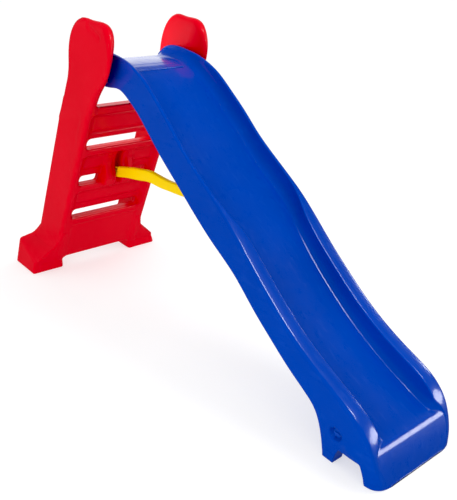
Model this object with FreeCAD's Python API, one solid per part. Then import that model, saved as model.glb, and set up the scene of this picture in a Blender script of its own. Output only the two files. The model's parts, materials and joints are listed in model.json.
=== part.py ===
import FreeCAD, Part
import math
import os

V = FreeCAD.Vector

# All sizes are in millimetres.  x runs from the ladder towards the foot of the chute and is
# measured from the front edge of the ladder's feet, z is up from the floor, and y = 0 is the
# middle plane, which the whole slide is symmetrical about.  SHIFT_X puts the origin at the
# middle of the overall length when the pieces are written out.

FOOT_REAR = -190.0          # rear edge of the ladder's feet
FOOT_FRONT = 0.0            # front edge of the ladder's feet
NOSE_X = 1780.0             # furthest point of the chute's front wall
SHIFT_X = -(FOOT_REAR + NOSE_X) / 2.0

# Ladder
FRONT_AT_FLOOR = -21.0      # where the sloping front plane would meet the floor
FRONT_LEAN = 0.589          # forward travel of the front plane per unit of height
REAR_AT_FLOOR = -224.0
REAR_LEAN = 0.547
RAIL_IN = 165.0             # half distance between the side rails
RAIL_OUT = 209.0            # half width over the side rails at the floor
RAIL_NECK = 190.0           # half width over the side rails at NECK_HEIGHT
NECK_HEIGHT = 700.0
EAR_OUT = 200.0
EAR_HEIGHT = 880.0          # height from which the ears have their full width
INNER_SLANT = 0.08          # how fast a side gets thinner towards its rear
BOSS_R = 30.0
BOSS_FACE = 156.0
FOOT_SECTIONS = ((FOOT_REAR, ((172, 0), (310, 0), (275, 112), (218, 120), (196, 158), (172, 158))),
                 (60.0, ((172, 0), (310, 0), (292, 46), (238, 100), (206, 150), (172, 150))))
TREAD_TOPS = (259.0, 427.0, 594.0, 768.0)
TREAD_THICK = 28.0
TREAD_DEPTH = 68.0
GAP_HEIGHT = 39.0           # open height between a step and the panel above it
PANEL_RECESS = 26.0         # how far the panels sit behind the front plane
PANEL_THICK = 16.0
ARCH_HEIGHT = 50.0
APRON_THICK = 34.0

# Catch housing on the ladder, which holds the end of the brace
CATCH_HALF = 62.0
CATCH_FRONT = 276.0
CATCH_BOTTOM = 414.0
CATCH_TOP = 576.0
CATCH_DEPTH = 72.0          # from the front plane of the ladder to the back of the housing
CATCH_DISH_HALF = 34.0
CATCH_DISH_DEPTH = 9.0
CATCH_SLOT_HALF = 13.0
CATCH_SLOT = ((204, 380), (208, 396), (219, 422), (226, 450), (236, 521), (262, 562),
              (340, 562), (340, 380))
CATCH_PIN = (259.0, 478.0)
CATCH_PIN_R = 4.0
CATCH_PIN_HALF = 46.0

# Fold axle
AXLE = (496.0, 887.0)
AXLE_R = 10.0
AXLE_BORE_R = 7.5
AXLE_HALF = 181.0
AXLE_PLAY = 0.06
BUSH_R = 15.0
BUSH_FLANGE_R = 23.0
BUSH_END = 183.0
BUSH_FLANGE_FACE = 152.8
WASHER_R = 19.0
WASHER_FACE = 152.4

# Chute
CHUTE_HEAD_HALF = 150.0     # half width between the ears
CHUTE_FOOT_HALF = 163.0     # half width of the lower half
TROUGH_HALF = 122.0
BED_THICK = 14.0
CREST = ((378, 930), (434, 961), (490, 968), (570, 957), (620, 947), (670, 930), (732, 900),
         (800, 849), (874, 787), (942, 724), (1011, 671), (1082, 621), (1153, 569), (1221, 509),
         (1290, 443), (1364, 378), (1432, 323), (1500, 277), (1569, 239), (1630, 209),
         (1680, 182), (1712, 156), (1734, 128), (1749, 97), (1759, 72), (1769, 45),
         (1777, 18), (NOSE_X + 3, 0))
BED = ((340, 924), (434, 925), (527, 924), (600, 911), (670, 880), (732, 842), (800, 789),
       (874, 726), (942, 662), (1011, 609), (1082, 559), (1153, 507), (1221, 448),
       (1290, 382), (1364, 317), (1432, 264), (1500, 220), (1569, 181), (1643, 144),
       (1700, 117), (1730, 107), (1760, 98), (1800, 88))
SKIRT = ((581, 846), (631, 823), (696, 780), (746, 737), (839, 658), (899, 613), (998, 537),
         (1102, 463), (1206, 396), (1288, 325), (1370, 260), (1455, 197), (1515, 158),
         (1548, 130), (1564, 103), (1578, 59), (1586, 0))
HEAD_REAR = 378.0
HEAD_BOTTOM = 850.0
REAR_FOOT_TIP = 1623.0
ARCH_REAR = 1654.0
ARCH_FRONT = 1717.0
FRONT_FOOT = 1732.0
CHUTE_ARCH = 54.0
NOSE_WALL = 16.0

# Brace, its bracket under the bed, and the pin between them
PIVOT = (1054.0, 515.0)
BED_SLOPE = -35.6           # degrees, slope of the bed above the bracket
BRACE_HALF = 10.0           # half thickness of the bar
BRACE_TOP = ((274, 493), (358, 507), (435, 518), (507, 526), (575, 522), (640, 518), (720, 522),
             (800, 533), (880, 540), (960, 538), (1010, 538))
BRACE_BOTTOM = ((1010, 493), (960, 493), (880, 495), (800, 491), (720, 482), (638, 480), (572, 479),
                (503, 482), (430, 472), (353, 463), (268, 448))
BRACE_TOOTH = ((274, 493), (269, 486), (265, 468), (254, 468), (254, 486), (242, 486), (242, 452),
               (250, 446), (268, 448))
EYE_R = 24.0
PIVOT_R = 5.0
PIVOT_PLAY = 0.06
EYE_BUSH_R = 8.0
CHEEK_GAP = 0.6
CHEEK_THICK = 3.0
BRACKET_LENGTH = 92.0
BRACKET_HALF = 34.0
PAD_DROP = 30.0             # from the pivot up to the flat pad under the bed
SCREW_R = 2.5
SCREW_HEAD_R = 5.0
SCREW_LENGTH = 16.0

# Drain plugs in the lower side walls
PLUG = (1629.0, 98.0)
PLUG_POCKET_R = 17.0
PLUG_POCKET_DEPTH = 11.0
PLUG_R = 12.0
PLUG_THICK = 9.0

WIDE = 400.0                # longer than the slide is wide, for cuts across it


def front_x(z):
    return FRONT_AT_FLOOR + FRONT_LEAN * z


def rear_x(z):
    return REAR_AT_FLOOR + REAR_LEAN * z


def edge(points):
    """A straight edge through two side-view points, or a smooth one through more."""
    path = [V(x, 0, z) for x, z in points]
    if len(path) == 2:
        return Part.LineSegment(path[0], path[1]).toShape()
    curve = Part.BSplineCurve()
    curve.interpolate(path)
    return curve.toShape()


def plate(runs, low_y, high_y):
    """Solid between two y planes whose side view is a closed outline.

    Each run is a list of points that starts where the run before it ends.
    """
    wire = Part.Wire([edge(run) for run in runs])
    solid = Part.Face(wire).extrude(V(0, high_y - low_y, 0))
    solid.translate(V(0, low_y, 0))
    return solid


def polygon_plate(points, low_y, high_y):
    corners = list(points) + [points[0]]
    return plate([corners[i:i + 2] for i in range(len(points))], low_y, high_y)


def rod(place, radius, low_y, high_y):
    """Round bar across the slide, centred on a side-view point."""
    return Part.makeCylinder(radius, high_y - low_y, V(place[0], low_y, place[1]), V(0, 1, 0))


def mirrored(shape):
    return shape.mirror(V(0, 0, 0), V(0, 1, 0))


def both_sides(shape):
    return [shape, mirrored(shape)]


def fused(shapes):
    return shapes[0].multiFuse(shapes[1:]).removeSplitter()


# ---------------------------------------------------------------- ladder

def outer_limit():
    """Space inside the outer faces of the rails and ears, which close in a little with height."""
    front_view = [(0, -5), (RAIL_OUT, -5), (RAIL_OUT, 0), (RAIL_NECK, NECK_HEIGHT),
                  (EAR_OUT, EAR_HEIGHT), (EAR_OUT, 1200), (0, 1200)]
    wire = Part.makePolygon([V(FOOT_REAR - 50, y, z) for y, z in front_view + front_view[:1]])
    return Part.Face(wire).extrude(V(1000, 0, 0))


def inner_slant():
    """Wedge that is cut from the inner face of a side, so that it gets thinner to the rear."""
    depth = 300.0
    corners = [(FRONT_AT_FLOOR, RAIL_IN - 10), (FRONT_AT_FLOOR - depth, RAIL_IN - 10),
               (FRONT_AT_FLOOR - depth, RAIL_IN + depth * INNER_SLANT), (FRONT_AT_FLOOR, RAIL_IN)]
    wire = Part.makePolygon([V(x, y, 0) for x, y in corners + corners[:1]])
    return Part.Face(wire).extrude(V(FRONT_LEAN, 0, 1) * 1200)


def side():
    """One side of the ladder: the rail and its ear."""
    whole = fused([side_rail(), ear()]).common(outer_limit())
    return whole.cut(inner_slant()).fuse(rod(AXLE, BOSS_R, BOSS_FACE, RAIL_IN + 5))


def side_rail():
    """One sloping side of the ladder, from the floor to the root of its ear."""
    top = 760.0
    outline = [(FOOT_REAR, 0), (FOOT_FRONT, 0), (FOOT_FRONT, 36), (front_x(top), top),
               (210, top), (rear_x(695), 695), (FOOT_REAR, 62)]
    return polygon_plate(outline, RAIL_IN, RAIL_OUT + 5)


def ear():
    """The rounded ear at the top of a side rail."""
    back = [(156, 695), (184, 728), (226, 783), (272, 845), (293, 876), (306, 910), (313, 945),
            (340, 1012), (388, 1058), (452, 1075), (500, 1068), (548, 1064), (592, 1050),
            (615, 1016), (622, 968), (618, 943), (596, 897), (536, 851), (484, 812), (426, 750)]
    low = (300, 695)
    return plate([back, [back[-1], low], [low, back[0]]], RAIL_IN, EAR_OUT + 5)


def foot():
    """The outrigger foot at the bottom of a side, lower at its front than at its rear."""
    wires = []
    for x, corners in FOOT_SECTIONS:
        wires.append(Part.makePolygon([V(x, y, z) for y, z in corners + corners[:1]]))
    block = Part.makeLoft(wires, True, True)
    slope = polygon_plate([(FOOT_REAR, 0), (FOOT_FRONT, 0), (FOOT_FRONT, 36),
                           (front_x(WIDE), WIDE), (-20, WIDE), (FOOT_REAR, 118)], 0, WIDE)
    return block.common(slope)


def tread(top):
    """A step: its top is level and its lip is flush with the front of the side rails."""
    low = top - TREAD_THICK
    return polygon_plate([(front_x(top) - TREAD_DEPTH, top), (front_x(top), top),
                          (front_x(low), low), (front_x(low) - TREAD_DEPTH, low)],
                         -RAIL_IN - 4, RAIL_IN + 4)


def panel(low, high):
    """The recessed panel under a step, which ends above the gap over the step below it."""
    back = PANEL_RECESS + PANEL_THICK
    return polygon_plate([(front_x(low) - PANEL_RECESS, low), (front_x(high) - PANEL_RECESS, high),
                          (front_x(high) - back, high), (front_x(low) - back, low)],
                         -RAIL_IN - 4, RAIL_IN + 4)


def apron():
    """The lowest panel, flush with the feet, with the arch under it."""
    low = ARCH_HEIGHT
    high = TREAD_TOPS[0] - TREAD_THICK
    return polygon_plate([(front_x(low), low), (front_x(high), high),
                          (front_x(high) - APRON_THICK, high), (front_x(low) - APRON_THICK, low)],
                         -RAIL_IN - 4, RAIL_IN + 4)


def catch_housing():
    """The column between two steps that carries the catch for the brace."""
    outline = [(CATCH_FRONT - 34, CATCH_BOTTOM), (CATCH_FRONT, CATCH_BOTTOM + 36),
               (CATCH_FRONT, CATCH_TOP - 40), (front_x(CATCH_TOP) - 6, CATCH_TOP),
               (front_x(CATCH_TOP) - CATCH_DEPTH, CATCH_TOP),
               (front_x(CATCH_BOTTOM) - CATCH_DEPTH, CATCH_BOTTOM)]
    column = polygon_plate(outline, -CATCH_HALF, CATCH_HALF)
    floor = CATCH_FRONT - CATCH_DISH_DEPTH
    dish = polygon_plate([(floor, CATCH_BOTTOM - 10), (floor, CATCH_TOP - 26),
                          (floor + 60, CATCH_TOP - 26), (floor + 60, CATCH_BOTTOM - 10)],
                         -CATCH_DISH_HALF, CATCH_DISH_HALF)
    return column.cut(dish)


def catch_slot():
    """The slot for the end of the brace, open at the front and at the bottom."""
    return polygon_plate(CATCH_SLOT, -CATCH_SLOT_HALF, CATCH_SLOT_HALF)


def ladder_moulding():
    pieces = both_sides(side()) + both_sides(foot())
    pieces += [tread(top) for top in TREAD_TOPS] + [apron()]
    for below, above in zip(TREAD_TOPS, TREAD_TOPS[1:]):
        pieces.append(panel(below + GAP_HEIGHT, above - TREAD_THICK))
    pieces.append(catch_housing())
    body = fused(pieces)
    cuts = [catch_slot(), rod(CATCH_PIN, CATCH_PIN_R, -CATCH_PIN_HALF, CATCH_PIN_HALF)]
    cuts += both_sides(rod(AXLE, BUSH_R, BOSS_FACE - 1, BUSH_END))
    return body.cut(Part.makeCompound(cuts)).removeSplitter()


def catch_pin():
    return rod(CATCH_PIN, CATCH_PIN_R, -CATCH_PIN_HALF, CATCH_PIN_HALF)


def axle_bush():
    """Flanged bush pressed into the boss on the inner face of an ear."""
    sleeve = rod(AXLE, BUSH_R, BOSS_FACE, BUSH_END)
    flange = rod(AXLE, BUSH_FLANGE_R, BUSH_FLANGE_FACE, BOSS_FACE)
    bore = rod(AXLE, AXLE_R + AXLE_PLAY, BUSH_FLANGE_FACE - 1, BUSH_END + 1)
    return sleeve.fuse(flange).cut(bore)


# ---------------------------------------------------------------- chute

def chute_envelope():
    """Everything inside the chute's side view, as wide as the slide allows."""
    rear = [(HEAD_REAR, 930), (HEAD_REAR, 892)]
    head = [(HEAD_REAR, 892), (398, 862), (436, HEAD_BOTTOM), (510, HEAD_BOTTOM - 4), (581, 846)]
    foot_line = [(SKIRT[-1]), (REAR_FOOT_TIP, 0)]
    arch = [(REAR_FOOT_TIP, 0), (1632, 34), (ARCH_REAR, 50), (1685, CHUTE_ARCH),
            (ARCH_FRONT, 50), (1728, 30), (FRONT_FOOT, 0)]
    runs = [list(CREST), [CREST[-1], (FRONT_FOOT, 0)], arch[::-1], foot_line[::-1],
            list(SKIRT)[::-1], head[::-1], rear[::-1]]
    return plate(runs, -WIDE, WIDE)


def chute_plan():
    """The chute seen from above: narrow between the ears, with a rounded, bowed front."""
    side = [(300, CHUTE_HEAD_HALF), (680, CHUTE_HEAD_HALF), (900, 156), (1200, 161),
            (1450, CHUTE_FOOT_HALF), (1720, CHUTE_FOOT_HALF)]
    corner = [(1720, CHUTE_FOOT_HALF), (1745, 157), (1760, 143), (1769, 122), (1774, 90),
              (1778, 45), (NOSE_X, 0), (1778, -45), (1774, -90), (1769, -122), (1760, -143),
              (1745, -157), (1720, -CHUTE_FOOT_HALF)]
    far = [(x, -y) for x, y in side[::-1]]
    runs = [side, corner, far, [far[-1], side[0]]]
    edges = []
    for run in runs:
        path = [V(x, y, 0) for x, y in run]
        if len(path) == 2:
            edges.append(Part.LineSegment(path[0], path[1]).toShape())
        else:
            curve = Part.BSplineCurve()
            curve.interpolate(path)
            edges.append(curve.toShape())
    plan = Part.Face(Part.Wire(edges)).extrude(V(0, 0, 1300))
    plan.translate(V(0, 0, -50))
    return plan


def trough():
    """The space above the bed, between the two rims."""
    lid = 1200
    runs = [list(BED), [BED[-1], (BED[-1][0] + 60, lid)], [(BED[-1][0] + 60, lid), (BED[0][0], lid)],
            [(BED[0][0], lid), BED[0]]]
    return plate(runs, -TROUGH_HALF, TROUGH_HALF)


def underside():
    """The open space below the bed, between the side walls and behind the front wall."""
    lowered = [(x, z - BED_THICK) for x, z in BED if HEAD_REAR + 14 < x < 1720]
    start = (HEAD_REAR + 14, lowered[0][1])
    ceiling = [start] + lowered + [(NOSE_X - 2.2 * NOSE_WALL, 88)]
    exit_low = (NOSE_X - 1.2 * NOSE_WALL, -20)
    runs = [ceiling, [ceiling[-1], exit_low], [exit_low, (HEAD_REAR + 14, -20)],
            [(HEAD_REAR + 14, -20), start]]
    return plate(runs, -TROUGH_HALF, TROUGH_HALF)


def tilted(shape):
    """Turn a piece that was drawn level about the pivot so that it follows the bed."""
    shape.rotate(V(PIVOT[0], 0, PIVOT[1]), V(0, 1, 0), -BED_SLOPE)
    return shape


def box_at_pivot(low, high):
    """Box given by two corners measured from the pivot, before it is tilted."""
    size = [high[i] - low[i] for i in range(3)]
    corner = V(PIVOT[0] + low[0], low[1], PIVOT[1] + low[2])
    return Part.makeBox(size[0], size[1], size[2], corner)


def bracket_pad():
    """Flat pad moulded under the bed, which the brace's bracket is screwed to."""
    half = BRACKET_LENGTH / 2 + 6
    return tilted(box_at_pivot((-half, -BRACKET_HALF - 6, PAD_DROP),
                               (half, BRACKET_HALF + 6, PAD_DROP + 12)))


def screw_places():
    return [(x, y) for x in (-34, 34) for y in (-24, 24)]


def screw_shank(x, y):
    root = V(PIVOT[0] + x, y, PIVOT[1] + PAD_DROP - CHEEK_THICK)
    return tilted(Part.makeCylinder(SCREW_R, SCREW_LENGTH, root, V(0, 0, 1)))


def screw_head(x, y):
    root = V(PIVOT[0] + x, y, PIVOT[1] + PAD_DROP - CHEEK_THICK)
    return tilted(Part.makeCone(SCREW_HEAD_R, SCREW_HEAD_R - 1.6, 3.0, root, V(0, 0, -1)))


def chute_moulding():
    body = chute_plan().common(chute_envelope())
    body = body.cut(underside()).cut(trough())
    pad = bracket_pad().cut(trough())
    body = body.fuse(pad).removeSplitter()
    cuts = [screw_shank(x, y) for x, y in screw_places()]
    cuts.append(rod(AXLE, AXLE_R, -WIDE, WIDE))
    cuts += both_sides(rod(PLUG, PLUG_POCKET_R, CHUTE_FOOT_HALF - PLUG_POCKET_DEPTH, WIDE))
    cuts += both_sides(rod(PLUG, PLUG_R, plug_seat(), CHUTE_FOOT_HALF))
    return body.cut(Part.makeCompound(cuts)).removeSplitter()


def fold_axle():
    """Steel tube across the chute's head, whose ends turn in the bushes of the ears."""
    tube = rod(AXLE, AXLE_R, -AXLE_HALF, AXLE_HALF)
    return tube.cut(rod(AXLE, AXLE_BORE_R, -WIDE, WIDE))


def thrust_washer():
    ring = rod(AXLE, WASHER_R, CHUTE_HEAD_HALF, WASHER_FACE)
    return ring.cut(rod(AXLE, AXLE_R, 0, WIDE))


def plug_seat():
    return CHUTE_FOOT_HALF - PLUG_POCKET_DEPTH - PLUG_THICK + 3.0


def drain_plug():
    """Push-in plug in the bottom of its pocket, with a grip bar across it."""
    low = plug_seat()
    body = rod(PLUG, PLUG_R, low, low + PLUG_THICK)
    grip = Part.makeBox(18, 2.5, 4, V(PLUG[0] - 9, low + PLUG_THICK, PLUG[1] - 2))
    return body.fuse(grip)


def brace_bracket():
    """Pressed steel channel: a web screwed to the pad and two cheeks for the pivot pin."""
    half = BRACKET_LENGTH / 2
    web = box_at_pivot((-half, -BRACKET_HALF, PAD_DROP - CHEEK_THICK), (half, BRACKET_HALF, PAD_DROP))
    near = BRACE_HALF + CHEEK_GAP
    cheek = box_at_pivot((-16, near, -14), (16, near + CHEEK_THICK, PAD_DROP - CHEEK_THICK))
    body = tilted(fused([web] + both_sides(cheek)))
    holes = [rod(PIVOT, PIVOT_R, -WIDE, WIDE)]
    holes += [screw_shank(x, y) for x, y in screw_places()]
    return body.cut(Part.makeCompound(holes))


def bracket_screws():
    screws = [screw_shank(x, y).fuse(screw_head(x, y)) for x, y in screw_places()]
    return Part.makeCompound(screws)


def pivot_pin():
    reach = BRACE_HALF + CHEEK_GAP + CHEEK_THICK + 5
    return rod(PIVOT, PIVOT_R, -reach, reach)


def pivot_clips():
    start = BRACE_HALF + CHEEK_GAP + CHEEK_THICK
    clip = rod(PIVOT, PIVOT_R + 4.5, start, start + 2).cut(rod(PIVOT, PIVOT_R, 0, WIDE))
    return Part.makeCompound(both_sides(clip))


# ---------------------------------------------------------------- brace

def brace_bar():
    """Wavy flat bar with an eye for the pivot pin and a tooth that stands behind the catch pin."""
    tooth = [BRACE_TOOTH[i:i + 2] for i in range(len(BRACE_TOOTH) - 1)]
    root = [BRACE_BOTTOM[0], BRACE_TOP[-1]]
    bar = plate([list(BRACE_TOP), root[::-1], list(BRACE_BOTTOM)] + tooth[::-1], -BRACE_HALF, BRACE_HALF)
    eye = rod(PIVOT, EYE_R, -BRACE_HALF, BRACE_HALF)
    neck = polygon_plate([(1000, 493), (1040, 493), (1052, 538.5), (1000, 538)],
                         -BRACE_HALF, BRACE_HALF)
    return fused([bar, eye, neck]).cut(rod(PIVOT, EYE_BUSH_R, -WIDE, WIDE))


def brace_eye_bush():
    """Nylon sleeve in the eye of the brace, turning on the pivot pin."""
    sleeve = rod(PIVOT, EYE_BUSH_R, -BRACE_HALF - 0.3, BRACE_HALF + 0.3)
    return sleeve.cut(rod(PIVOT, PIVOT_R + PIVOT_PLAY, -WIDE, WIDE))


def write(name, shape):
    placed = shape.copy()
    placed.translate(V(SHIFT_X, 0, 0))
    placed.exportStep(os.path.join("parts", name + ".step"))
    box = placed.BoundBox
    print(name, placed.isValid(), len(placed.Solids), "solids", round(placed.Volume / 1e6, 3), "litres",
          [round(v, 1) for v in (box.XMin, box.XMax, box.YMin, box.YMax, box.ZMin, box.ZMax)])


def main():
    os.makedirs("parts", exist_ok=True)
    write("ladder_moulding", ladder_moulding())
    write("brace_catch_pin", catch_pin())
    write("left_axle_bush", axle_bush())
    write("right_axle_bush", mirrored(axle_bush()))
    write("chute_moulding", chute_moulding())
    write("fold_axle", fold_axle())
    write("left_thrust_washer", thrust_washer())
    write("right_thrust_washer", mirrored(thrust_washer()))
    write("left_drain_plug", drain_plug())
    write("right_drain_plug", mirrored(drain_plug()))
    write("brace_bracket", brace_bracket())
    write("bracket_screws", bracket_screws())
    write("brace_pivot_pin", pivot_pin())
    write("pivot_pin_clips", pivot_clips())
    write("brace_bar", brace_bar())
    write("brace_eye_bush", brace_eye_bush())


main()
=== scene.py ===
import json
import math

import bmesh
import bpy
import numpy as np
from mathutils import Matrix, Vector


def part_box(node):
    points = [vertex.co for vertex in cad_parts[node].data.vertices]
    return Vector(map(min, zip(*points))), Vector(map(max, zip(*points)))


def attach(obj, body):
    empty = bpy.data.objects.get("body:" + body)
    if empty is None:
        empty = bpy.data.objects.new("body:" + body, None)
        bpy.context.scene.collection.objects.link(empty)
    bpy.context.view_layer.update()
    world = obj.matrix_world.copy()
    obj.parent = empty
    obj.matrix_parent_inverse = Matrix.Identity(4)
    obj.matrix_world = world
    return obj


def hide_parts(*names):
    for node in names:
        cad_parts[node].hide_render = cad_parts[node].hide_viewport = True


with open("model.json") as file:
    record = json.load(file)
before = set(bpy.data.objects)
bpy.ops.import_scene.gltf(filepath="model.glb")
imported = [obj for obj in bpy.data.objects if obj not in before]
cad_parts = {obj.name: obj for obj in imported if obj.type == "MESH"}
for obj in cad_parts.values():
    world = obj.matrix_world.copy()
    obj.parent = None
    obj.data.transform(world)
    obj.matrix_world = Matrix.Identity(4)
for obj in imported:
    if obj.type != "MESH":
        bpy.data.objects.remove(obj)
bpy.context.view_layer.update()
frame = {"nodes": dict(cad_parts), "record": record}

# Shapes are drawn in millimetres in the slide's side view: x runs towards the foot of the
# chute and is 0 at the front edge of the ladder's feet, y is across and z is up.
FOOT_DEPTH = 190.0
FOOT_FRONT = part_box("ladder_moulding")[0].x * 1000 + FOOT_DEPTH
SLOT_OF = {part["node"]: part["material_slot"] for part in frame["record"]["subparts"]}


def in_frame(points):
    """Side-view millimetres to the frame's metres."""
    return (np.asarray(points, float) + (FOOT_FRONT, 0, 0)) / 1000


# ---------------------------------------------------------------- outlines and distances

def smooth_line(points, closed=False, per_span=10):
    """Points along a smooth curve through the given ones, spaced by chord length."""
    known = np.array(points, float)
    if closed:
        known = np.vstack([known[-3:], known, known[:3]])
    gaps = np.linalg.norm(np.diff(known, axis=0), axis=1)
    knots = np.concatenate([[0], np.cumsum(gaps)])
    n = len(knots)
    rows = np.eye(n)
    right = np.zeros((n, known.shape[1]))
    for i in range(1, n - 1):
        before, after = knots[i] - knots[i - 1], knots[i + 1] - knots[i]
        rows[i, i - 1:i + 2] = before, 2 * (before + after), after
        slope_after = (known[i + 1] - known[i]) / after
        slope_before = (known[i] - known[i - 1]) / before
        right[i] = 6 * (slope_after - slope_before)
    bend = np.linalg.solve(rows, right)
    first, last = (3, n - 3) if closed else (0, n - 1)
    made = []
    for i in range(first, last):
        span = knots[i + 1] - knots[i]
        for t in np.arange(per_span) / per_span:
            a, b = 1 - t, t
            made.append(a * known[i] + b * known[i + 1]
                        + ((a ** 3 - a) * bend[i] + (b ** 3 - b) * bend[i + 1]) * span ** 2 / 6)
    if not closed:
        made.append(known[-1])
    return np.array(made)


def height_along(points):
    """Height as a function of x, from points on a line that never turns back."""
    line = smooth_line(points, per_span=24)
    return lambda x: np.interp(x, line[:, 0], line[:, 1])


def outline_distance(x, z, outline):
    """Signed distance in the side view to a closed outline, negative inside."""
    nearest = np.inf
    inside = False
    ends = np.roll(outline, -1, axis=0)
    for (ax, az), (bx, bz) in zip(outline, ends):
        run, rise = bx - ax, bz - az
        dx, dz = x - ax, z - az
        along = np.clip((dx * run + dz * rise) / (run * run + rise * rise), 0, 1)
        nearest = np.minimum(nearest, (dx - run * along) ** 2 + (dz - rise * along) ** 2)
        if az != bz:
            crosses = (np.minimum(az, bz) <= z) & (z < np.maximum(az, bz))
            inside = inside ^ (crosses & (dx < dz * run / rise))
    return np.where(inside, -1.0, 1.0) * np.sqrt(nearest)


def slab(across, through, radius):
    """A plate with rounded edges, from its outline distance and its thickness distance."""
    a = across + radius
    b = through + radius
    return np.minimum(np.maximum(a, b), 0) + np.hypot(np.maximum(a, 0), np.maximum(b, 0)) - radius


def join(a, b, blend):
    """Union of two distances, with a fillet about as wide as blend."""
    overlap = np.maximum(blend - np.abs(a - b), 0) / blend
    return np.minimum(a, b) - overlap * overlap * blend / 4


def carve(a, b, blend):
    """What is left of a when b is cut from it, with a rounded edge."""
    return -join(-a, b, blend)


# ---------------------------------------------------------------- meshes from distances

CORNERS = np.array([(i, j, k) for i in (0, 1) for j in (0, 1) for k in (0, 1)])


def settle(shape, points):
    """Move points onto the zero surface of a distance."""
    for _ in range(2):
        value = shape(*points.T)
        slope = np.empty_like(points)
        for axis in range(3):
            nudge = np.zeros(3)
            nudge[axis] = 0.05
            slope[:, axis] = (shape(*(points + nudge).T) - shape(*(points - nudge).T)) / 0.1
        steep = np.maximum((slope ** 2).sum(1), 0.2)
        step = np.clip(value / steep, -4, 4)
        points = points - slope * step[:, None]
    return points


def surface(shape, low, high, step):
    """Quads on the zero surface of a distance that is the same on both sides of y = 0."""
    counts = [int(math.ceil((high[i] - low[i]) / step)) + 1 for i in (0, 2)]
    xs = low[0] + step * np.arange(counts[0])
    zs = low[2] + step * np.arange(counts[1])
    ys = step * (np.arange(int(math.ceil(high[1] / step)) + 1) + 0.5)
    half = np.broadcast_to(shape(xs[:, None, None], ys[None, :, None], zs[None, None, :]),
                           (len(xs), len(ys), len(zs)))
    field = np.concatenate([half[:, ::-1], half], axis=1)
    start = np.array([xs[0], -ys[-1], zs[0]])
    solid = field < 0
    size = np.array(field.shape) - 1
    full = sum(solid[i:i + size[0], j:j + size[1], k:k + size[2]].astype(np.int8)
               for i, j, k in CORNERS)
    cells = np.argwhere((full > 0) & (full < 8))
    number = np.full(tuple(size), -1, np.int64)
    number[tuple(cells.T)] = np.arange(len(cells))
    total = np.zeros((len(cells), 3))
    hits = np.zeros(len(cells))
    for a in CORNERS:
        for b in CORNERS:
            if (b - a).min() < 0 or (b - a).sum() != 1:
                continue
            at_a = field[tuple((cells + a).T)]
            at_b = field[tuple((cells + b).T)]
            crossed = (at_a < 0) != (at_b < 0)
            share = np.where(crossed, at_a / np.where(crossed, at_a - at_b, 1), 0)
            total += (a + share[:, None] * (b - a)) * crossed[:, None]
            hits += crossed
    points = start + step * (cells + total / hits[:, None])
    quads = []
    for axis in range(3):
        one = np.eye(3, dtype=int)[axis]
        side, up = np.eye(3, dtype=int)[(axis + 1) % 3], np.eye(3, dtype=int)[(axis + 2) % 3]
        ends = np.array(field.shape) - one
        here = solid[:ends[0], :ends[1], :ends[2]]
        there = solid[one[0]:, one[1]:, one[2]:]
        for leaving, order in ((here & ~there, 1), (there & ~here, -1)):
            edge = np.argwhere(leaving)
            ring = [edge, edge - side, edge - side - up, edge - up][::order]
            quads.append(np.stack([number[tuple(corner.T)] for corner in ring], axis=1))
    quads = np.concatenate(quads)
    for _ in range(2):
        points = settle(shape, relaxed(points, quads))
    return points, quads


def relaxed(points, quads):
    """Each point moved half way to the mean of its neighbours."""
    near = np.zeros_like(points)
    count = np.zeros(len(points))
    for turn in (1, -1):
        ring = np.roll(quads, turn, axis=1)
        for corner in range(4):
            np.add.at(near, quads[:, corner], points[ring[:, corner]])
            np.add.at(count, quads[:, corner], 1)
    return (points + near / count[:, None]) / 2


def mesh_object(name, points, faces):
    """A smooth-shaded object whose mesh is in the frame's metres."""
    mesh = bpy.data.meshes.new(name)
    mesh.from_pydata(in_frame(points).tolist(), [], [list(map(int, f)) for f in faces])
    mesh.validate()
    piece = bpy.data.objects.new(name, mesh)
    bpy.context.scene.collection.objects.link(piece)
    face_out(piece)
    mesh.polygons.foreach_set("use_smooth", [True] * len(mesh.polygons))
    return piece


def face_out(piece):
    """Join the seams of a mesh and turn its faces outward."""
    shell = bmesh.new()
    shell.from_mesh(piece.data)
    bmesh.ops.remove_doubles(shell, verts=shell.verts, dist=1e-6)
    bmesh.ops.recalc_face_normals(shell, faces=shell.faces)
    shell.to_mesh(piece.data)
    shell.free()


# ---------------------------------------------------------------- ladder

FRONT_AT_FLOOR, FRONT_LEAN = -21.0, 0.589
REAR_AT_FLOOR, REAR_LEAN = -224.0, 0.547
RAIL_IN = 165.0
OUTER_HEIGHTS, OUTER_FACES = (0.0, 700.0, 880.0), (209.0, 190.0, 199.5)
INNER_SLANT = 0.10
LEAST_THICK = 9.0
RAIL_ROUND = 15.0
EAR_OUTLINE = ((156, 700), (184, 731), (226, 784), (271, 845), (293, 876), (306, 910), (313, 945),
               (340, 1011), (388, 1056), (452, 1073), (500, 1066), (548, 1062), (592, 1048), (614, 1016),
               (621, 968), (617, 943), (596, 897), (536, 851), (484, 812), (428, 750), (300, 705))
TREAD_TOPS = (259.0, 427.0, 594.0, 768.0)
TREAD_THICK = 28.0
TREAD_DEPTH = 68.0
GAP_HEIGHT = 39.0
GAP_HALF = 156.0
GAP_ROUND = 17.0
PANEL_RECESS = 26.0
PANEL_THICK = 16.0
ARCH_HEIGHT = 50.0
APRON_THICK = 34.0
CATCH_HALF = 62.0
CATCH_FRONT = 276.0
CATCH_LOW, CATCH_HIGH = 414.0, 576.0
CATCH_SLOT = np.array([(204, 380), (208, 396), (219, 422), (226, 450), (236, 521), (262, 562),
                       (340, 562), (340, 380)], float)
CATCH_SLOT_HALF = 13.0
BUSH_HOLE_R, BUSH_HOLE_END = 15.3, 183.5
BOSS_R, BOSS_FACE = 30.0, 156.0
RUNG_HALF = 177.0           # the steps and panels end inside the sides
GROOVE_START, GROOVE_END = (492, 1046), (556, 1014)


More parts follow.
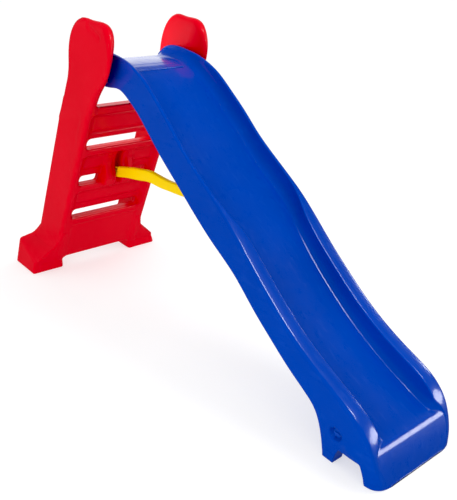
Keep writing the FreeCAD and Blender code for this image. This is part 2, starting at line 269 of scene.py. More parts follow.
def centre_of(node):
    """Side-view centre of a CAD node, in millimetres."""
    low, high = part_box(node)
    middle = (low + high) * 500
    return middle.x - FOOT_FRONT, middle.z


AXLE = centre_of("fold_axle")
PIVOT = centre_of("brace_pivot_pin")


def front_x(z):
    """Front plane of the leaning ladder."""
    return FRONT_AT_FLOOR + FRONT_LEAN * z


def rear_x(z):
    """Rear edge of the ladder's sides."""
    return REAR_AT_FLOOR + REAR_LEAN * z


def between(y, low, high):
    """Signed distance to the space between two planes."""
    return np.abs(y - (low + high) / 2) - (high - low) / 2


def leaning_band(x, z, low, high, front_gap, rear_gap):
    """Side-view distance to a leaning panel, with its gaps measured from the front plane."""
    outline = [(front_x(low) - front_gap, low), (front_x(high) - front_gap, high),
               (front_x(high) - rear_gap, high), (front_x(low) - rear_gap, low)]
    return outline_distance(x, z, np.array(outline))


RAIL_OUTLINE = np.array([(-FOOT_DEPTH, 0), (0, 0), (0, 36), (front_x(790), 790), (228, 790),
                         (rear_x(695), 695), (-FOOT_DEPTH, 62)])
EAR_CURVE = smooth_line(EAR_OUTLINE, closed=True, per_span=4)
FOOT_OUTLINE = np.array([(-FOOT_DEPTH, 0), (0, 0), (0, 36), (front_x(200), 200), (-110, 200),
                         (-FOOT_DEPTH, 118)])


def side_outline(x, z):
    """Side-view distance to a rail with its ear."""
    return join(outline_distance(x, z, RAIL_OUTLINE), outline_distance(x, z, EAR_CURVE), 10)


def side_shape(x, y, z):
    """One side rail running up into its ear: a wedge that is thickest near its front edge."""
    behind = front_x(z) - x
    outer = np.interp(z, OUTER_HEIGHTS, OUTER_FACES)
    inner = RAIL_IN + INNER_SLANT * np.maximum(behind - 20, 0) + 20 * np.clip(-behind / 78, 0, 1) ** 2
    inner = np.minimum(inner, outer - LEAST_THICK)
    side = slab(side_outline(x, z), between(y, inner, outer), RAIL_ROUND)
    boss = slab(np.hypot(x - AXLE[0], z - AXLE[1]) - BOSS_R, between(y, BOSS_FACE, RAIL_IN + 20), 2)
    return carve(join(side, boss, 6), ear_groove(x, y, z), 9)


def ear_groove(x, y, z):
    """Shallow valley that runs down the outer face of the ear from the dip in its top."""
    (ax, az), (bx, bz) = GROOVE_START, GROOVE_END
    run, fall = bx - ax, bz - az
    along = np.clip(((x - ax) * run + (z - az) * fall) / (run ** 2 + fall ** 2), 0, 1)
    off = (x - ax - along * run) ** 2 + (z - az - along * fall) ** 2
    return np.sqrt(off + (y - OUTER_FACES[2] - 11) ** 2) - 13


def foot_shape(x, y, z):
    """Outrigger block with a flat sloping top, lower at the front, that swells up into the rail."""
    across = outline_distance(x, z, FOOT_OUTLINE)
    ahead = np.clip(1 + x / FOOT_DEPTH, 0, 1.2)
    end = 310 - 0.26 * z
    outer_y, outer_z = 275 + 13 * ahead, 112 - 50 * ahead
    inner_y, inner_z = 218 + 15 * ahead, 121 - 15 * ahead
    share = np.clip((outer_y - y) / (outer_y - inner_y), -0.5, 1.4)
    swell = 0.5 + 0.5 * np.cos(np.pi * np.clip((y - 186) / 40, 0, 1))
    top = outer_z + (inner_z - outer_z) * share + 60 * swell ** 1.5
    return slab(np.maximum(across, (z - top) * 0.9), np.maximum(172 - y, (y - end) * 0.95), 9)


def tread_shape(x, y, z, top):
    """Step with rounded edges, given the height of its top."""
    low = top - TREAD_THICK
    outline = np.array([(front_x(top) - TREAD_DEPTH, top), (front_x(top) - 2, top),
                        (front_x(low) - 2, low), (front_x(low) - TREAD_DEPTH, low)])
    return slab(outline_distance(x, z, outline), np.abs(y) - RUNG_HALF, 10)


def panel_shape(x, y, z, below, above):
    """Recessed panel under a step, with a broad soft band; the highest has a narrow one too."""
    low, high = below - 4, above - TREAD_THICK + 4
    back = PANEL_RECESS + PANEL_THICK
    edge = below + GAP_HEIGHT
    wide = np.abs(y) - RUNG_HALF
    panel = slab(leaning_band(x, z, low, high, PANEL_RECESS, back), wide, 5)
    bands = [(edge + 42, high - 18)] + ([(edge + 6, edge + 20)] if above == TREAD_TOPS[-1] else [])
    for start, stop in bands:
        band = slab(leaning_band(x, z, start, stop, PANEL_RECESS - 6, back - 6), wide, 5)
        panel = join(panel, band, 18)
    return panel


def gap_shape(x, y, z, top, inner):
    """The open gap above a step, with rounded ends; inner keeps it clear of the catch housing."""
    across = between(y, inner, GAP_HALF) if inner else y - GAP_HALF
    gap = slab(across, between(z, top + 1, top + 1 + GAP_HEIGHT), GAP_ROUND)
    return np.maximum(gap, between(x - front_x(z), -58, -12))


def apron_shape(x, y, z):
    """Panel under the lowest step, clear of the floor."""
    band = leaning_band(x, z, ARCH_HEIGHT, TREAD_TOPS[0] - TREAD_THICK + 6, 3, APRON_THICK)
    return slab(band, np.abs(y) - RUNG_HALF, 7)


def catch_shape(x, y, z):
    """Housing for the end of the brace: two cheeks with a sunken face between them."""
    outline = np.array([(CATCH_FRONT - 34, CATCH_LOW), (CATCH_FRONT, CATCH_LOW + 36),
                        (CATCH_FRONT, CATCH_HIGH - 40), (front_x(CATCH_HIGH) - 6, CATCH_HIGH),
                        (front_x(CATCH_HIGH) - 72, CATCH_HIGH), (front_x(CATCH_LOW) - 72, CATCH_LOW)])
    column = slab(outline_distance(x, z, outline), np.abs(y) - CATCH_HALF, 7)
    floor = CATCH_FRONT - 9
    dish = np.array([(floor, CATCH_LOW - 12), (floor - 4, 520), (floor + 4, CATCH_HIGH - 22),
                     (floor + 60, CATCH_HIGH - 22), (floor + 60, CATCH_LOW - 12)])
    return carve(column, slab(outline_distance(x, z, dish), np.abs(y) - 34, 4), 5)


def ladder_shape(x, y, z):
    """The whole ladder: steps and panels between two sides, with feet and the brace's housing."""
    y = np.abs(y)
    rungs = apron_shape(x, y, z)
    for top in TREAD_TOPS:
        rungs = join(rungs, tread_shape(x, y, z, top), 8)
    for index, (below, above) in enumerate(zip(TREAD_TOPS, TREAD_TOPS[1:])):
        panel = panel_shape(x, y, z, below, above)
        panel = carve(panel, gap_shape(x, y, z, below, CATCH_HALF + 3 if index == 1 else 0), 6)
        rungs = join(rungs, panel, 9)
    body = join(side_shape(x, y, z), rungs, 22)
    body = np.maximum(body, side_outline(x, z))
    body = join(body, foot_shape(x, y, z), 12)
    body = join(body, catch_shape(x, y, z), 10)
    slot = slab(outline_distance(x, z, CATCH_SLOT), y - CATCH_SLOT_HALF, 2)
    body = carve(body, slot, 4)
    hole = np.maximum(np.hypot(x - AXLE[0], z - AXLE[1]) - BUSH_HOLE_R, BOSS_FACE - 20 - y)
    body = carve(body, np.maximum(hole, y - BUSH_HOLE_END), 1)
    return np.maximum(np.maximum(body, -z), -FOOT_DEPTH - x)


def make_ladder():
    points, quads = surface(ladder_shape, (-205, 0, -6), (637, 322, 1084), step=5.0)
    return mesh_object("ladder_shell", points, quads)


# ---------------------------------------------------------------- brace

BRACE_HALF = 10.0
BRACE_TOP = ((274, 493), (358, 507), (435, 518), (507, 526), (575, 522), (640, 518), (720, 522),
             (800, 533), (880, 540), (960, 538), (1010, 538), (1046, 538))
BRACE_BOTTOM = ((1046, 493), (1010, 493), (960, 493), (880, 495), (800, 491), (720, 482), (638, 480),
                (572, 479), (503, 482), (430, 472), (353, 463), (268, 448))
BRACE_TOOTH = ((250, 446), (242, 452), (242, 486), (254, 486), (254, 468), (265, 468), (269, 486))
BRACE_OUTLINE = np.vstack([smooth_line(BRACE_TOP, per_span=5), smooth_line(BRACE_BOTTOM, per_span=5),
                           np.array(BRACE_TOOTH, float)])
EYE_R, EYE_BORE_R = 24.0, 8.2


def brace_shape(x, y, z):
    """Wavy bar with softly rounded edges and an eye at its end."""
    off = np.hypot(x - PIVOT[0], z - PIVOT[1])
    across = join(outline_distance(x, z, BRACE_OUTLINE), off - EYE_R, 10)
    bar = slab(across, np.abs(y) - BRACE_HALF, 5)
    return carve(bar, off - EYE_BORE_R, 1)


def make_brace():
    points, quads = surface(brace_shape, (236, 0, 438), (1086, 14, 548), step=3.2)
    return mesh_object("brace_shell", points, quads)


# ---------------------------------------------------------------- chute

CREST = ((372, 930), (434, 961), (490, 967), (570, 957), (620, 947), (670, 930), (732, 900),
         (800, 849), (874, 787), (942, 724), (1011, 671), (1082, 621), (1153, 569), (1221, 509),
         (1290, 443), (1364, 378), (1432, 323), (1500, 277), (1569, 239), (1630, 209),
         (1680, 182), (1712, 156), (1734, 128), (1748, 99), (1759, 71), (1769, 44), (1777, 15),
         (1780, 1))
BED = ((340, 924), (434, 925), (527, 924), (600, 911), (670, 880), (732, 842), (800, 789),
       (874, 726), (942, 662), (1011, 609), (1082, 559), (1153, 507), (1221, 448),
       (1290, 382), (1364, 317), (1432, 264), (1500, 220), (1569, 181), (1643, 144),
       (1700, 118), (1728, 108), (1743, 99), (1752, 84), (1760, 66), (1769, 42), (1777, 14),
       (1780, 1))
LOWER_EDGE = ((372, 892), (398, 862), (436, 850), (510, 846), (581, 846), (631, 823), (696, 780),
              (746, 737), (839, 658), (899, 613), (998, 537), (1102, 463), (1206, 396), (1288, 325),
              (1370, 260), (1455, 197), (1515, 158), (1548, 130), (1565, 100), (1578, 59), (1588, 4))
HALF_WIDTH = ((360, 150), (680, 150), (900, 156), (1200, 161), (1450, 162.5), (1600, 162.8),
              (1738, 162.5), (1753, 159.5), (1764, 152.5), (1772, 142.5), (1777, 128),
              (1779.5, 110), (1779.9, 104))
HEAD_REAR = 378.0
NOSE_X = 1780.0
BED_THICK = 14.0
INNER_HALF = 122.0
ARCH_START, ARCH_END, ARCH_TOP = 1624.0, 1732.0, 54.0
POCKET = (1629.0, 98.0)
POCKET_SIZE = (21.0, 16.0)
POCKET_DEPTH = 11.0


def chute_curves():
    side = smooth_line(HALF_WIDTH, per_span=24)
    return {
        "crest": height_along(CREST),
        "bed": height_along(BED),
        "edge": height_along(LOWER_EDGE),
        "half": lambda x: np.interp(x, side[:, 0], side[:, 1]),
    }


def lower_edge(x, curves):
    """Bottom of the side walls, with the arch between their two feet."""
    if x <= 1588:
        return float(curves["edge"](x))
    if ARCH_START < x < ARCH_END:
        share = (x - ARCH_START) / (ARCH_END - ARCH_START)
        return ARCH_TOP * min(1.0, math.sin(math.pi * share) * 2.0) ** 0.7
    return 0.0


def quarter(count, first=0):
    return [math.pi / 2 * i / count for i in range(first, count + 1)]


def section(x, curves, inset):
    """Half of the chute's cross-section at x: from the middle of the bed, over the rim, down
    the outside, and back under the bed to the middle."""
    crest = float(curves["crest"](x)) - inset
    bed = min(float(curves["bed"](x)) - inset, crest)
    half = float(curves["half"](x)) - inset
    low = min(lower_edge(x, curves) + inset, bed - 2)
    depth = crest - bed
    fade = min(1.0, depth / 30)
    wide = 1 / (1 + math.exp(-(x - 1170) / 26))
    head = 1 / (1 + math.exp((x - 700) / 60))
    band = (3 + 29 * wide) * fade
    outer_round = min(5 + 6 * wide, max(crest - low, 2) / 2.5, half / 2)
    inner_round = (3.5 + 1.5 * wide) * fade
    rim_inner = half - outer_round - band - inner_round
    cove = min((30 + 14 * head - 8 * wide) * fade, max(rim_inner - 5, 1))
    points = [((rim_inner - cove) * i / 8, bed) for i in range(8)]
    for t in quarter(11):
        points.append((rim_inner - cove + cove * math.sin(t),
                       bed + max(depth - inner_round, 0) * (1 - math.cos(t))))
    for t in quarter(4, 1):
        points.append((rim_inner + inner_round * (1 - math.cos(t)),
                       crest - inner_round + inner_round * math.sin(t)))
    for t in (0.33, 0.67):
        points.append((rim_inner + inner_round + band * t, crest + 1.5 * wide * fade * math.sin(math.pi * t)))
    for t in quarter(6):
        points.append((half - outer_round + outer_round * math.sin(t),
                       crest - outer_round + outer_round * math.cos(t)))
    foot = 4.0
    for i in range(1, 41):
        z = (crest - outer_round) * (1 - i / 40) + (low + foot) * i / 40
        points.append((half - wall_dent(x, z), z))
    inner = min(INNER_HALF + inset, half - 9)
    for t in quarter(3, 1):
        points.append((half - foot + foot * math.cos(t), low + foot - foot * math.sin(t)))
    for t in quarter(3):
        points.append((inner + foot - foot * math.sin(t), low + foot - foot * math.cos(t)))
    ceiling = min(float(curves["bed"](x)) - BED_THICK + inset, crest - BED_THICK)
    if x > 1700:
        ceiling *= max(0.0, 1 - ((x - 1700) / 48) ** 3)
    ceiling = max(ceiling, low + foot + 1)
    drop = 8 if ceiling > low + 20 else 0
    for i in range(1, 8):
        t = i / 7
        points.append((inner, (low + foot) * (1 - t) + (ceiling - drop * t) * t))
    for i in range(1, 7):
        points.append((inner * (1 - i / 6), ceiling))
    return points


def wall_dent(x, z):
    """How far the side wall is pushed in: a flat-bottomed pocket, and a swelling over the arch."""
    reach = math.hypot((x - POCKET[0]) / POCKET_SIZE[0], (z - POCKET[1]) / POCKET_SIZE[1])
    pocket = POCKET_DEPTH * min(1.0, max(0.0, (1.08 - reach) / 0.22))
    swell = 5.0 * math.exp(-((x - 1684) / 24) ** 2 - ((z - 76) / 17) ** 2)
    return pocket - swell


def stations(curves):
    """Places along x that are evenly spaced over the chute's skin, and closer at the pocket."""
    fine = np.linspace(HEAD_REAR, NOSE_X - 0.6, 8000)
    edge = np.array([lower_edge(x, curves) for x in fine])
    travel = np.abs(np.diff(curves["crest"](fine))) + np.abs(np.diff(curves["half"](fine)))
    travel += 0.5 * np.abs(np.diff(edge)) + np.diff(fine)
    travel *= 1 + 1.8 * (np.abs(fine[1:] - POCKET[0]) < 26)
    along = np.concatenate([[0], np.cumsum(travel)])
    return np.interp(np.linspace(0, along[-1], 370), along, fine)


def make_chute():
    curves = chute_curves()
    rows = []
    for x in stations(curves):
        inset = 5 * max(0.0, 1 - (x - HEAD_REAR) / 5) ** 2
        half = section(x, curves, inset)
        rows.append([(x, y, z) for y, z in half] + [(x, -y, z) for y, z in half[-2:0:-1]])
    count = len(rows[0])
    points = [p for row in rows for p in row]
    faces = []
    for i in range(len(rows) - 1):
        for j in range(count):
            k = (j + 1) % count
            faces.append((i * count + j, i * count + k, (i + 1) * count + k, (i + 1) * count + j))
    faces.append(tuple(range(count)))
    last = (len(rows) - 1) * count
    faces.append(tuple(last + j for j in reversed(range(count))))
    return mesh_object("chute_shell", points, faces)


# ---------------------------------------------------------------- bracket pad and node-made pieces

BED_SLOPE = math.radians(35.6)
PAD_HALF = (52.0, 40.0)
PAD_LOW, PAD_HIGH = 30.0, 45.0


def at_pivot(x, y, z):
    """Move of a piece that is drawn level round the pivot to its tilted place, in metres."""
    turn = Matrix.Rotation(BED_SLOPE, 4, "Y")
    pivot = Vector(in_frame((PIVOT[0], 0, PIVOT[1])))
    return Matrix.Translation(pivot) @ turn @ Matrix.Translation(Vector((x, y, z)) / 1000)


def make_pad():
    """Flat pad moulded under the bed, with tapered sides and rounded edges."""
    shell = bmesh.new()
    bmesh.ops.create_cube(shell, size=1)
    for v in shell.verts:
        lower = v.co.z < 0
        v.co.x *= (2 * PAD_HALF[0] + (0 if lower else 10)) / 1000
        v.co.y *= (2 * PAD_HALF[1] + (0 if lower else 10)) / 1000
        v.co.z *= (PAD_HIGH - PAD_LOW) / 1000
    bmesh.ops.bevel(shell, geom=shell.edges[:], offset=0.004, segments=4, profile=0.5, affect="EDGES")
    shell.transform(at_pivot(0, 0, (PAD_LOW + PAD_HIGH) / 2))
    return finished("bracket_pad_moulding", shell)


def finished(name, shell):
    mesh = bpy.data.meshes.new(name)
    shell.to_mesh(mesh)
    shell.free()
    piece = bpy.data.objects.new(name, mesh)
    bpy.context.scene.collection.objects.link(piece)
    mesh.polygons.foreach_set("use_smooth", [True] * len(mesh.polygons))
    return piece


# ---------------------------------------------------------------- node trees

class Tree:
    """A node tree whose nodes all come from one method."""

    def __init__(self, tree):
        self.tree = tree

    def node(self, kind, settings=None, inputs=None, output=0):
        """Add a node: its settings first, then a value or a link for each named socket."""
        made = self.tree.nodes.new(kind)
        for key, value in (settings or {}).items():
            setattr(made, key, value)
        for key, value in (inputs or {}).items():
            if isinstance(value, Value):
                self.tree.links.new(value.socket, made.inputs[key])
            else:
                made.inputs[key].default_value = value
        return Value(self, made.outputs[output]) if len(made.outputs) else made


class Value:
    """A socket that can stand in an arithmetic expression."""

    def __init__(self, tree, socket):
        self.tree = tree
        self.socket = socket

    def maths(self, operation, *others, **settings):
        inputs = {i: other for i, other in enumerate((self,) + others)}
        return self.tree.node("ShaderNodeMath", {"operation": operation, **settings}, inputs)

    def __add__(self, other):
        return self.maths("ADD", other)

    __radd__ = __add__

    def __mul__(self, other):
        return self.maths("MULTIPLY", other)

    __rmul__ = __mul__

    def __sub__(self, other):
        return self.maths("SUBTRACT", other)

    def __rsub__(self, other):
        return (self * -1) + other

    def held(self):
        """The value kept between 0 and 1."""
        return self.maths("ADD", 0.0, use_clamp=True)


# ---------------------------------------------------------------- materials

def begin(name):
    """An empty node material and its tree."""
    material = bpy.data.materials.new(name)
    material.use_nodes = True
    material.node_tree.nodes.clear()
    return material, Tree(material.node_tree)


def noise(tree, place, scale, detail, stretch=(1, 1, 1), turn=0.0):
    """Noise over a place that is first stretched, and turned about y."""
    laid = tree.node("ShaderNodeMapping", {}, {"Vector": place, "Scale": stretch,
                                               "Rotation": (0, turn, 0)})
    return tree.node("ShaderNodeTexNoise", {"noise_dimensions": "3D"},
                     {"Vector": laid, "Scale": scale, "Detail": detail})


def mixed(tree, share, first, second):
    """Colour mix; each side is a colour or a link."""
    colours = [c if isinstance(c, Value) else (*c, 1) for c in (first, second)]
    return tree.node("ShaderNodeMix", {"data_type": "RGBA"},
                     {0: share, 6: colours[0], 7: colours[1]}, output=2)


def worn_edges(tree, start, gain):
    """High on sharp outer edges, from how strongly the mesh bends outwards."""
    geometry = tree.node("ShaderNodeNewGeometry", output=7)
    return ((geometry - start) * gain).held()


def end(material, tree, sockets, fixed):
    """Close a material with one shader, from its varying sockets and its fixed ones."""
    shader = tree.node("ShaderNodeBsdfPrincipled", {}, {**fixed, **sockets})
    tree.node("ShaderNodeOutputMaterial", {}, {"Surface": shader})
    return material


def moulded(name, colour, deep, pale, rough, gloss_varies, coat, slide=0.0):
    """Coloured polyethylene: slow colour drift, fine mould grain, rubbed edges and light scuffs.

    slide adds long polished streaks that run down the chute.
    """
    material, tree = begin(name)
    place = tree.node("ShaderNodeTexCoord", output=3)
    drift = noise(tree, place, 2.6, 3)
    grain = noise(tree, place, 620, 2)
    ripple = noise(tree, place, 26, 2)
    scuff = noise(tree, place, 34, 6, (0.35, 2.4, 1.0), 0.62)
    scuffed = ((scuff - 0.56) * 5).held()
    wear = worn_edges(tree, 0.545, 9)
    shade = mixed(tree, ((drift - 0.35) * 2.2).held(), deep, colour)
    shade = mixed(tree, wear * 0.16 + scuffed * 0.05 + (grain - 0.5) * 0.05, shade, pale)
    streak = noise(tree, place, 60, 4, (0.06, 1.0, 1.0), 0.62)
    roughness = (ripple - 0.5) * gloss_varies + (grain - 0.5) * 0.12 + scuffed * 0.1 + wear * 0.12 + rough
    roughness = (roughness + (streak - 0.5) * slide).held()
    fine = tree.node("ShaderNodeBump", {}, {"Height": grain, "Strength": 0.16, "Distance": 0.0004})
    broad = tree.node("ShaderNodeBump", {}, {"Height": ripple, "Strength": 0.25, "Distance": 0.0006,
                                             "Normal": fine})
    fixed = {"Metallic": 0.0, "Specular IOR Level": 0.10, "Coat Roughness": 0.12}
    return end(material, tree, {"Base Color": shade, "Roughness": roughness, "Normal": broad,
                                "Coat Weight": (coat - scuffed * coat * 0.5).held()}, fixed)


def zinc_plate():
    """Zinc-plated steel with faint crystals, drawn lines and paler edges."""
    material, tree = begin("zinc_plated_steel")
    place = tree.node("ShaderNodeTexCoord", output=3)
    crystal = noise(tree, place, 90, 2)
    drawn = noise(tree, place, 400, 3, (1, 0.05, 1))
    wear = worn_edges(tree, 0.52, 5)
    shade = mixed(tree, crystal, (0.50, 0.51, 0.53), (0.72, 0.72, 0.70))
    shade = mixed(tree, wear * 0.5, shade, (0.82, 0.82, 0.84))
    rough = crystal * 0.14 + drawn * 0.18 + 0.16
    bump = tree.node("ShaderNodeBump", {}, {"Height": drawn, "Strength": 0.2, "Distance": 0.0002})
    return end(material, tree, {"Base Color": shade, "Roughness": rough.held(), "Normal": bump},
               {"Metallic": 1.0})


def nylon():
    """Dark nylon with a fine matt grain and rubbed, slightly shiny edges."""
    material, tree = begin("black_nylon_grain")
    place = tree.node("ShaderNodeTexCoord", output=3)
    grain = noise(tree, place, 900, 2)
    drift = noise(tree, place, 40, 2)
    wear = worn_edges(tree, 0.52, 6)
    shade = mixed(tree, drift, (0.014, 0.014, 0.016), (0.035, 0.035, 0.038))
    shade = mixed(tree, wear * 0.4, shade, (0.10, 0.10, 0.11))
    bump = tree.node("ShaderNodeBump", {}, {"Height": grain, "Strength": 0.3, "Distance": 0.0002})
    return end(material, tree, {"Base Color": shade, "Roughness": (grain * 0.2 + 0.42 - wear * 0.15).held(),
                                "Normal": bump}, {"Specular IOR Level": 0.4})


FINISHES = {
    "red_polyethylene": moulded("red_polyethylene", (0.74, 0.0015, 0.016), (0.66, 0.001, 0.012),
                                (0.95, 0.10, 0.13), 0.42, 0.10, 0.14),
    "blue_polyethylene": moulded("blue_polyethylene", (0.0005, 0.057, 0.45), (0.0003, 0.046, 0.38),
                                 (0.08, 0.22, 0.75), 0.30, 0.08, 0.50, 0.10),
    "yellow_polyethylene": moulded("yellow_polyethylene", (0.96, 0.70, 0.010), (0.90, 0.63, 0.006),
                                   (1.0, 0.82, 0.25), 0.42, 0.10, 0.12),
    "zinc_steel": zinc_plate(),
    "black_nylon": nylon(),
}


def wear_finish(piece, slot):
    """Give a piece the one finish of its slot."""
    piece.data.materials.clear()
    piece.data.materials.append(FINISHES[slot])


def fit(piece, body, slot, *replaced):
    """Give a piece its finish and its body, and hide the CAD nodes that it stands for."""
    wear_finish(piece, slot)
    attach(piece, body)
    if replaced:
        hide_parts(*replaced)


# ---------------------------------------------------------------- pieces that repeat, made by nodes

def geometry_tree(name, inputs):
    """A geometry tree with named inputs; gives the tree and a value for each input."""
    tree = bpy.data.node_groups.new(name, "GeometryNodeTree")
    tree.interface.new_socket("Geometry", in_out="OUTPUT", socket_type="NodeSocketGeometry")
    for label, kind in inputs:
        tree.interface.new_socket(label, in_out="INPUT", socket_type="NodeSocket" + kind)
    made = Tree(tree)
    entry = tree.nodes.new("NodeGroupInput")
    return made, {label: Value(made, entry.outputs[label]) for label, kind in inputs}


def close_tree(made, instances, material):
    """End a geometry tree with real, smooth geometry that carries its finish."""
    whole = made.node("GeometryNodeRealizeInstances", {}, {"Geometry": instances})
    smooth = made.node("GeometryNodeSetShadeSmooth", {}, {"Geometry": whole, "Shade Smooth": True})
    finish = made.node("GeometryNodeSetMaterial", {}, {"Geometry": smooth, "Material": material})
    exit_node = made.tree.nodes.new("NodeGroupOutput")
    made.tree.links.new(finish.socket, exit_node.inputs[0])


def grown(name, made, values):
    """Run a geometry tree with the given inputs and keep its result as a plain mesh."""
    host = bpy.data.objects.new(name, bpy.data.meshes.new(name + "_seed"))
    bpy.context.scene.collection.objects.link(host)
    modifier = host.modifiers.new("nodes", "NODES")
    modifier.node_group = made.tree
    for item in made.tree.interface.items_tree:
        if item.in_out == "INPUT":
            modifier[item.identifier] = values[item.name]
    depsgraph = bpy.context.evaluated_depsgraph_get()
    mesh = bpy.data.meshes.new_from_object(host.evaluated_get(depsgraph))
    host.modifiers.clear()
    host.data = mesh
    return host


def make_grip_lines():
    """Three low ribs across the deck, where it rolls over into the slope."""
    made, given = geometry_tree("deck_grip_lines", (
        ("Count", "Int"), ("Start", "Vector"), ("Step", "Vector"), ("Half Length", "Float"),
        ("Radius", "Float"), ("Finish", "Material")))
    points = made.node("GeometryNodeMeshLine", {"mode": "OFFSET"},
                       {"Count": given["Count"], "Start Location": given["Start"], "Offset": given["Step"]})
    left = made.node("ShaderNodeCombineXYZ", {}, {"Y": given["Half Length"] * -1})
    right = made.node("ShaderNodeCombineXYZ", {}, {"Y": given["Half Length"]})
    line = made.node("GeometryNodeCurvePrimitiveLine", {"mode": "POINTS"}, {"Start": left, "End": right})
    ring = made.node("GeometryNodeCurvePrimitiveCircle", {"mode": "RADIUS"},
                     {"Resolution": 12, "Radius": given["Radius"]})
    rib = made.node("GeometryNodeCurveToMesh", {}, {"Curve": line, "Profile Curve": ring, "Fill Caps": True})
    ribs = made.node("GeometryNodeInstanceOnPoints", {}, {"Points": points, "Instance": rib})
    close_tree(made, ribs, given["Finish"])
    start = in_frame((560, 0, 918.3))
    step = np.array([26, 0, -5.1]) / 1000
    return grown("deck_grip_ribs", made, {
        "Count": 3, "Start": tuple(start), "Step": tuple(step), "Half Length": 0.092,
        "Radius": 0.0024, "Finish": FINISHES["blue_polyethylene"]})


def make_screws():
    """Four pan-head screws with crossed recesses, on the web of the brace's bracket."""
    made, given = geometry_tree("bracket_screws", (
        ("Length", "Float"), ("Width", "Float"), ("Head Radius", "Float"), ("Head Height", "Float"),
        ("Shank Radius", "Float"), ("Shank Length", "Float"), ("Place", "Vector"), ("Tilt", "Vector"),
        ("Finish", "Material")))
    points = made.node("GeometryNodeMeshGrid", {}, {"Size X": given["Length"], "Size Y": given["Width"],
                                                    "Vertices X": 2, "Vertices Y": 2})
    head = made.node("GeometryNodeMeshCone", {}, {
        "Vertices": 32, "Radius Top": given["Head Radius"] * 0.68, "Radius Bottom": given["Head Radius"],
        "Depth": given["Head Height"]})
    cuts = []
    for long, short in (("X", "Y"), ("Y", "X")):
        size = made.node("ShaderNodeCombineXYZ", {}, {long: given["Head Radius"] * 1.05,
                                                      short: given["Head Radius"] * 0.2,
                                                      "Z": given["Head Height"]})
        cuts.append(made.node("GeometryNodeMeshCube", {}, {"Size": size}))
    cross = made.tree.nodes.new("GeometryNodeJoinGeometry")
    for cut in cuts:
        made.tree.links.new(cut.socket, cross.inputs[0])
    up = made.node("ShaderNodeCombineXYZ", {}, {"Z": given["Head Height"]})
    cross_up = made.node("GeometryNodeTransform", {}, {"Geometry": Value(made, cross.outputs[0]),
                                                      "Translation": up})
    cut_head = made.node("GeometryNodeMeshBoolean", {"operation": "DIFFERENCE"}, {"Mesh 1": head,
                                                                                "Mesh 2": cross_up})
    flipped = made.node("GeometryNodeTransform", {}, {"Geometry": cut_head,
                                                     "Rotation": (math.pi, 0, 0)})
    shank = made.node("GeometryNodeMeshCylinder", {}, {
        "Vertices": 20, "Radius": given["Shank Radius"], "Depth": given["Shank Length"]})
    middle = made.node("ShaderNodeCombineXYZ", {}, {"Z": given["Shank Length"] * 0.5})
    shank_up = made.node("GeometryNodeTransform", {}, {"Geometry": shank, "Translation": middle})
    screw = made.tree.nodes.new("GeometryNodeJoinGeometry")
    for part in (flipped, shank_up):
        made.tree.links.new(part.socket, screw.inputs[0])
    screws = made.node("GeometryNodeInstanceOnPoints", {}, {"Points": points,
                                                           "Instance": Value(made, screw.outputs[0])})
    placed = made.node("GeometryNodeTransform", {}, {"Geometry": screws, "Translation": given["Place"],
                                                    "Rotation": given["Tilt"]})
    close_tree(made, placed, given["Finish"])
    place = at_pivot(0, 0, PAD_LOW - 3).translation
    return grown("bracket_screw_set", made, {
        "Length": 0.068, "Width": 0.048, "Head Radius": 0.005, "Head Height": 0.003,
        "Shank Radius": 0.0025, "Shank Length": 0.016, "Place": tuple(place),
        "Tilt": (0.0, BED_SLOPE, 0.0), "Finish": FINISHES["zinc_steel"]})


for name, node in frame["nodes"].items():
    wear_finish(node, SLOT_OF[name])

fit(make_ladder(), "ladder", "red_polyethylene", "ladder_moulding")
fit(make_chute(), "chute", "blue_polyethylene", "chute_moulding")
fit(make_pad(), "chute", "blue_polyethylene")
fit(make_grip_lines(), "chute", "blue_polyethylene")
fit(make_screws(), "chute", "zinc_steel", "bracket_screws")
fit(make_brace(), "brace", "yellow_polyethylene", "brace_bar")


# ---------------------------------------------------------------- stage, light and camera

BLACK_LEVEL = 0.012
FLOOR_GLOW = 0.56
FLOOR_REACH = 60
SKY, SKY_SEEN, SKY_MIRRORED = 0.92, 0.20, -0.80
CAMERA_PLACE = (1.7123, -1.2191, 1.1889)
CAMERA_AROUND, CAMERA_ABOVE = 0.897725, 0.400914        # radians
CAMERA_LENS = 46.08
# Lamps: name, place, target, size in metres, watts. The first four show only in the gloss,
# and the rest only in the matt shading.
GLOSS_LAMPS = (
    ("deck", (-3.2, 2.0, 1.9), (-0.2, 0, 0.9), 2.2, 17),
    ("rim", (2.0, 0.6, 2.65), (0.4, 0, 0.4), 0.8, 32),
    ("lip", (2.7, 1.7, 0.68), (0.96, 0, 0.1), 1.2, 56),
    ("inner_rim", (1.2, 3.0, 1.6), (0.5, 0, 0.4), 0.7, 20))
MATT_LAMPS = (
    ("far_ear", (-0.75, -0.08, 0.97), (-0.3, 0.19, 1.0), 0.2, 2.0),
    ("overhead", (0.9, 0.9, 3.2), (0.3, 0, 0.4), 1.2, 26),
    ("front", (1.2, -3.4, 1.7), (0.0, 0, 0.5), 1.6, 30))


def studio_world():
    """Even white surroundings that are dimmer in reflections, so that gloss stays crisp."""
    world = bpy.data.worlds.new("studio")
    world.use_nodes = True
    world.node_tree.nodes.clear()
    tree = Tree(world.node_tree)
    seen = tree.node("ShaderNodeLightPath", output=0)
    mirrored = tree.node("ShaderNodeLightPath", output=3)
    glow = tree.node("ShaderNodeBackground", {}, {"Color": (1, 1, 1, 1),
                                                  "Strength": SKY + seen * SKY_SEEN
                                                  + mirrored * SKY_MIRRORED})
    tree.node("ShaderNodeOutputWorld", {}, {"Surface": glow})
    bpy.context.scene.world = world


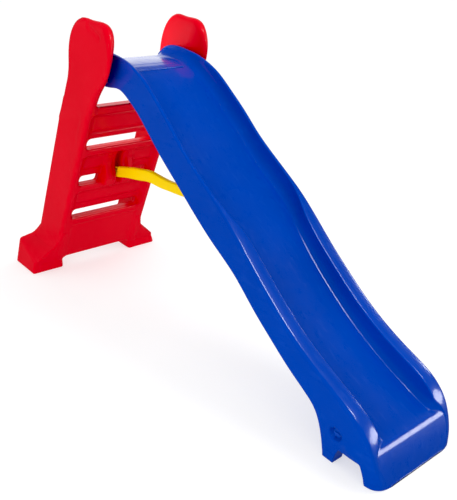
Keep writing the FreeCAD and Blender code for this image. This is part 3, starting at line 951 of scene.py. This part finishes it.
def make_floor():
    """Pale floor that glows a little and is left out of reflections."""
    mesh = bpy.data.meshes.new("floor")
    reach = FLOOR_REACH
    corners = [(-reach, -reach, 0), (reach, -reach, 0), (reach, reach, 0), (-reach, reach, 0)]
    mesh.from_pydata(corners, [], [(0, 1, 2, 3)])
    floor = bpy.data.objects.new("floor", mesh)
    bpy.context.scene.collection.objects.link(floor)
    material, tree = begin("pale_floor")
    place = tree.node("ShaderNodeTexCoord", output=3)
    mottle = noise(tree, place, 3, 2)
    shade = mixed(tree, mottle, (0.49, 0.49, 0.49), (0.51, 0.51, 0.51))
    end(material, tree, {"Base Color": shade}, {
        "Roughness": 0.9, "Specular IOR Level": 0.0, "Emission Color": (1, 1, 1, 1),
        "Emission Strength": FLOOR_GLOW})
    mesh.materials.append(material)
    floor.visible_glossy = False


def soft_light(name, place, target, size, watts, gloss):
    """Round lamp aimed at a point; it shows only in the gloss or only in the matt shading."""
    lamp = bpy.data.lights.new(name, "AREA")
    lamp.shape = "DISK"
    lamp.size = size
    lamp.energy = watts
    light = bpy.data.objects.new(name, lamp)
    light.location = place
    light.rotation_euler = (Vector(target) - Vector(place)).to_track_quat("-Z", "Y").to_euler()
    light.visible_camera = False
    light.visible_diffuse = not gloss
    light.visible_glossy = gloss
    bpy.context.scene.collection.objects.link(light)


def make_camera():
    camera = bpy.data.cameras.new("camera")
    camera.lens = CAMERA_LENS
    camera.sensor_width = 36
    eye = bpy.data.objects.new("camera", camera)
    eye.location = CAMERA_PLACE
    level = math.cos(CAMERA_ABOVE)
    back = Vector((math.sin(CAMERA_AROUND) * level, -math.cos(CAMERA_AROUND) * level,
                   math.sin(CAMERA_ABOVE)))
    eye.rotation_mode = "QUATERNION"
    eye.rotation_quaternion = (-back).to_track_quat("-Z", "Y")
    bpy.context.scene.collection.objects.link(eye)
    bpy.context.scene.camera = eye


studio_world()
make_floor()
for lamp in GLOSS_LAMPS:
    soft_light(*lamp, gloss=True)
for lamp in MATT_LAMPS:
    soft_light(*lamp, gloss=False)
make_camera()
grade = bpy.context.scene.view_settings
grade.view_transform = "Standard"
grade.use_curve_mapping = True
grade.curve_mapping.black_level = (BLACK_LEVEL, BLACK_LEVEL, BLACK_LEVEL)
grade.curve_mapping.update()
